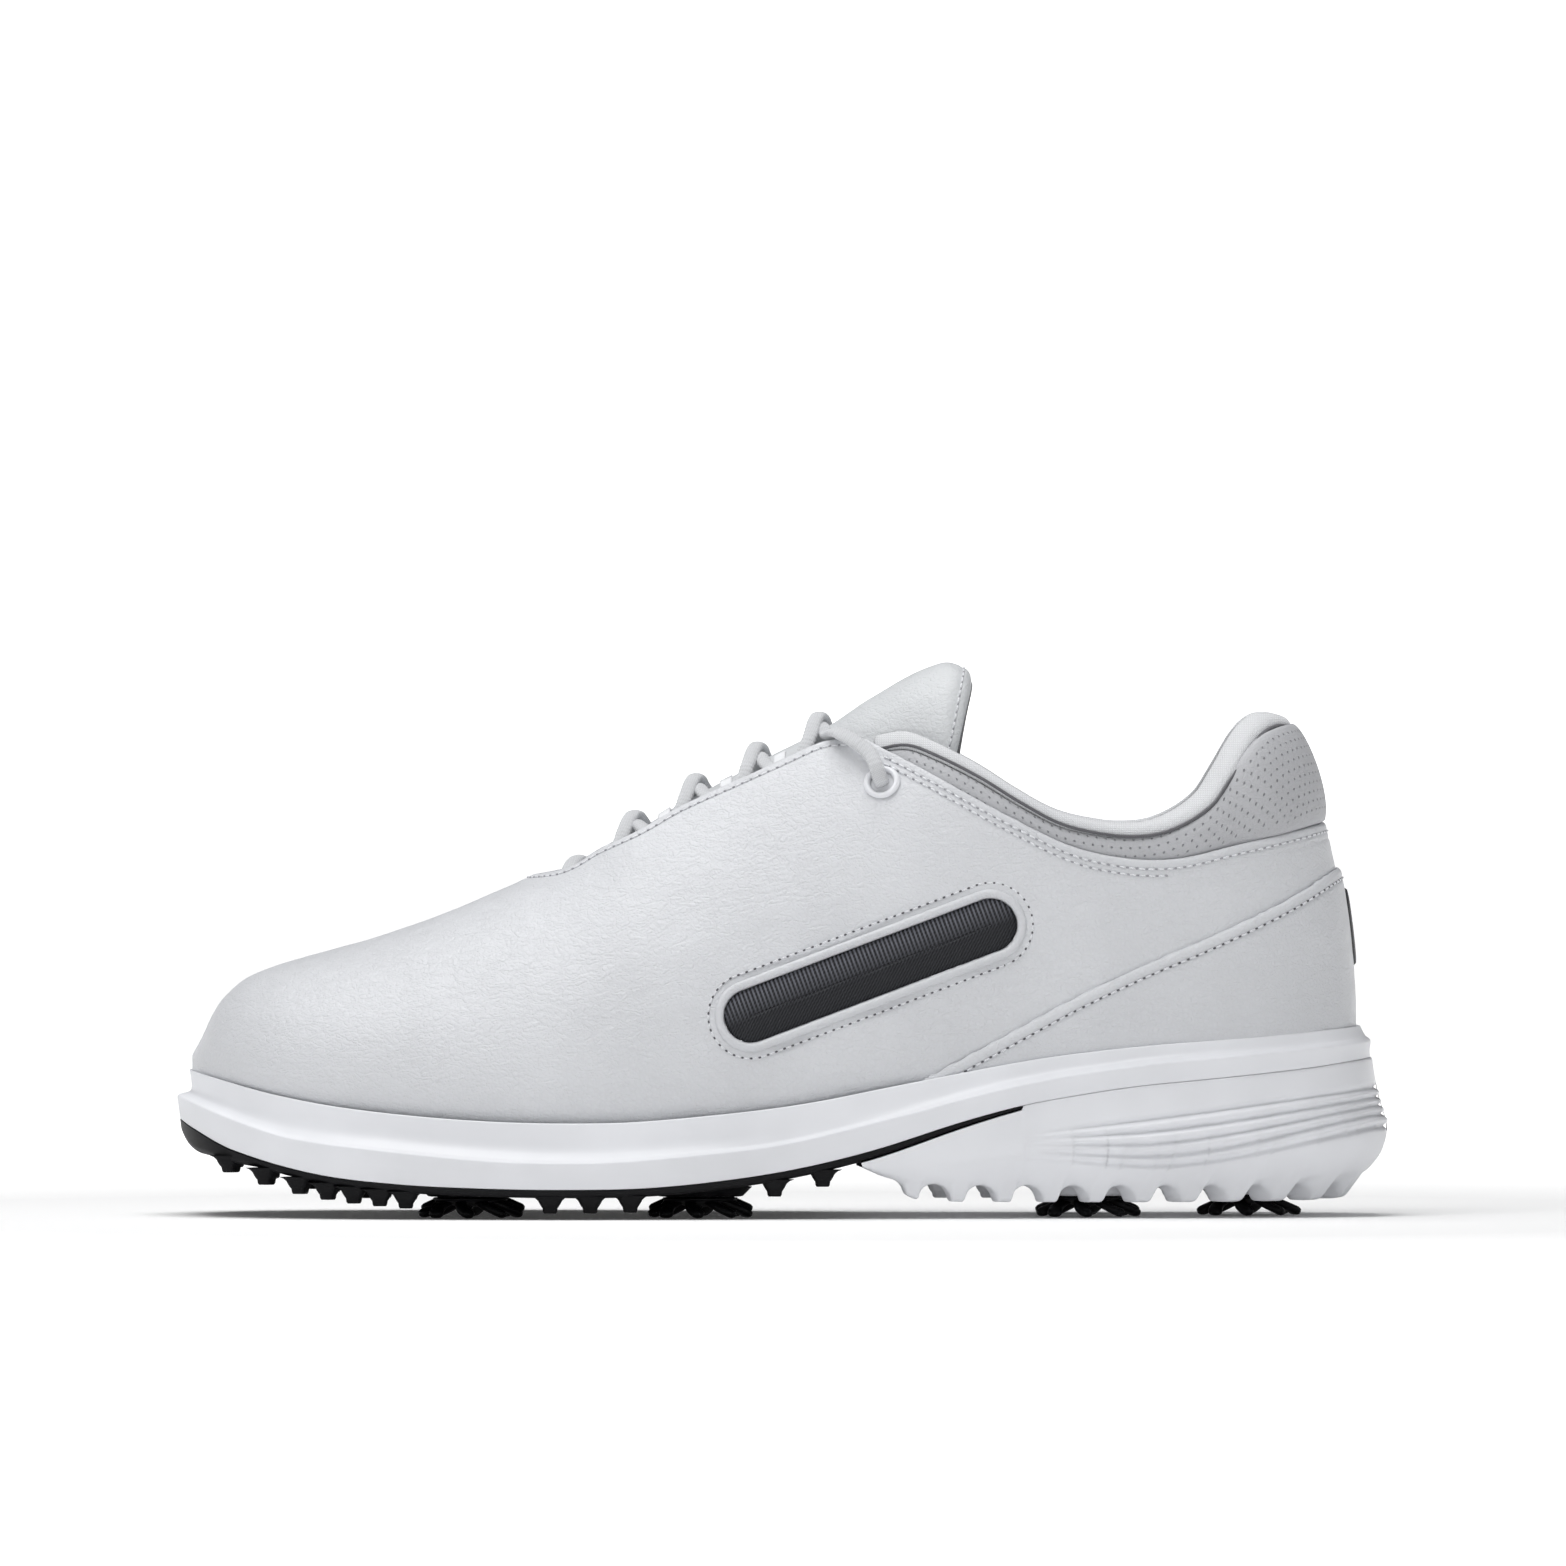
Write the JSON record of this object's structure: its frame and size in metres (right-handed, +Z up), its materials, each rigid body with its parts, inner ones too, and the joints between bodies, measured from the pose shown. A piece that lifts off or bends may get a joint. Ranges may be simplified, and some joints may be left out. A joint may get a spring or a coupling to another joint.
{
  "type": "golf shoe",
  "caption": "Left low-cut golf shoe: leather upper on a moulded sole with twist-lock spikes, laced over a padded tongue; worn for grip while swinging and walking on turf.",
  "frame": {"origin": "centre of the bounding box in plan, at ground level under the spikes", "axes": "-X towards the toe and +X towards the heel, -Y to the outer (lateral) side, +Z up"},
  "size_m": [0.304, 0.11, 0.14],
  "materials": {
    "white_leather": "smooth full-grain, fine soft wrinkle grain, semi-matt",
    "perforated_leather": "matt, rows of fine punched holes",
    "white_moulding": "smooth satin moulding",
    "black_outsole": "satin moulded polyurethane",
    "black_spike_plastic": "satin moulded plastic",
    "receptacle_plastic": "matt moulded nylon",
    "shank_plastic": "matt glass-filled nylon",
    "fibre_board": "matt fibre sheet",
    "dark_satin": "dense satin embroidery",
    "dark_patch": "smooth satin moulding",
    "padding_foam": "open-cell foam",
    "lining_textile": "brushed knit mesh",
    "sockliner_textile": "fine knit over moulded foam",
    "webbing": "flat woven webbing",
    "lace_cord": "ribbed braid",
    "eyelet_plastic": "smooth satin moulding",
    "aglet_plastic": "clear-coated film"
  },
  "bodies": {
    "shoe": {"midsole": "white_moulding", "heel_outsole": "white_moulding", "forefoot_outsole_plate": "black_outsole", "receptacle_forefoot_front_lateral": "receptacle_plastic", "receptacle_forefoot_front_medial": "receptacle_plastic", "receptacle_forefoot_rear_lateral": "receptacle_plastic", "receptacle_forefoot_rear_medial": "receptacle_plastic", "receptacle_heel_lateral": "receptacle_plastic", "receptacle_heel_medial": "receptacle_plastic", "receptacle_heel_rear": "receptacle_plastic", "arch_shank": "shank_plastic", "strobel_board": "fibre_board", "toe_puff": "fibre_board", "heel_counter": "fibre_board", "eyestay_reinforcement_lateral": "fibre_board", "eyestay_reinforcement_medial": "fibre_board", "vamp_quarter": "white_leather", "heel_overlay": "white_leather", "collar_panel": "perforated_leather", "side_inlay_lateral": "dark_satin", "side_inlay_medial": "dark_satin", "heel_patch": "dark_patch", "collar_foam": "padding_foam", "collar_lining": "lining_textile", "quarter_lining": "lining_textile", "vamp_lining": "lining_textile", "sockliner": "sockliner_textile", "lace_loop_lateral_1": "webbing", "lace_loop_lateral_2": "webbing", "lace_loop_lateral_3": "webbing", "lace_loop_lateral_4": "webbing", "lace_loop_medial_1": "webbing", "lace_loop_medial_2": "webbing", "lace_loop_medial_3": "webbing", "lace_loop_medial_4": "webbing", "lace": "lace_cord", "lace_end_lateral": "lace_cord", "lace_end_medial": "lace_cord", "eyelet_lateral": "eyelet_plastic", "eyelet_medial": "eyelet_plastic", "aglet_lateral": "aglet_plastic", "aglet_medial": "aglet_plastic"},
    "tongue": {"tongue_shell": "white_leather", "tongue_foam": "padding_foam", "tongue_lining": "lining_textile"},
    "spike_forefoot_front_lateral": {"spike_forefoot_front_lateral": "black_spike_plastic"},
    "spike_forefoot_front_medial": {"spike_forefoot_front_medial": "black_spike_plastic"},
    "spike_forefoot_rear_lateral": {"spike_forefoot_rear_lateral": "black_spike_plastic"},
    "spike_forefoot_rear_medial": {"spike_forefoot_rear_medial": "black_spike_plastic"},
    "spike_heel_lateral": {"spike_heel_lateral": "black_spike_plastic"},
    "spike_heel_medial": {"spike_heel_medial": "black_spike_plastic"},
    "spike_heel_rear": {"spike_heel_rear": "black_spike_plastic"}
  },
  "joints": [
    {"name": "tongue_pivot", "type": "hinge", "parent": "shoe", "child": "tongue", "pos_m": [-0.07, 0.003, 0.072], "axis": [0, 1, 0], "range_deg": [0, 8]},
    {"name": "spike_turn_forefoot_front_lateral", "type": "hinge", "parent": "shoe", "child": "spike_forefoot_front_lateral", "pos_m": [-0.078, -0.03, 0.0054], "axis": [0, 0, -1], "range_deg": [0, 60]},
    {"name": "spike_turn_forefoot_front_medial", "type": "hinge", "parent": "shoe", "child": "spike_forefoot_front_medial", "pos_m": [-0.078, 0.03, 0.0054], "axis": [0, 0, -1], "range_deg": [0, 60]},
    {"name": "spike_turn_forefoot_rear_lateral", "type": "hinge", "parent": "shoe", "child": "spike_forefoot_rear_lateral", "pos_m": [-0.0206, -0.029, 0.0054], "axis": [0, 0, -1], "range_deg": [0, 60]},
    {"name": "spike_turn_forefoot_rear_medial", "type": "hinge", "parent": "shoe", "child": "spike_forefoot_rear_medial", "pos_m": [-0.0206, 0.027, 0.0054], "axis": [0, 0, -1], "range_deg": [0, 60]},
    {"name": "spike_turn_heel_lateral", "type": "hinge", "parent": "shoe", "child": "spike_heel_lateral", "pos_m": [0.0766, -0.017, 0.0054], "axis": [0, 0, -1], "range_deg": [0, 60]},
    {"name": "spike_turn_heel_medial", "type": "hinge", "parent": "shoe", "child": "spike_heel_medial", "pos_m": [0.0766, 0.015, 0.0054], "axis": [0, 0, -1], "range_deg": [0, 60]},
    {"name": "spike_turn_heel_rear", "type": "hinge", "parent": "shoe", "child": "spike_heel_rear", "pos_m": [0.117, -0.001, 0.0054], "axis": [0, 0, -1], "range_deg": [0, 60]}
  ]
}
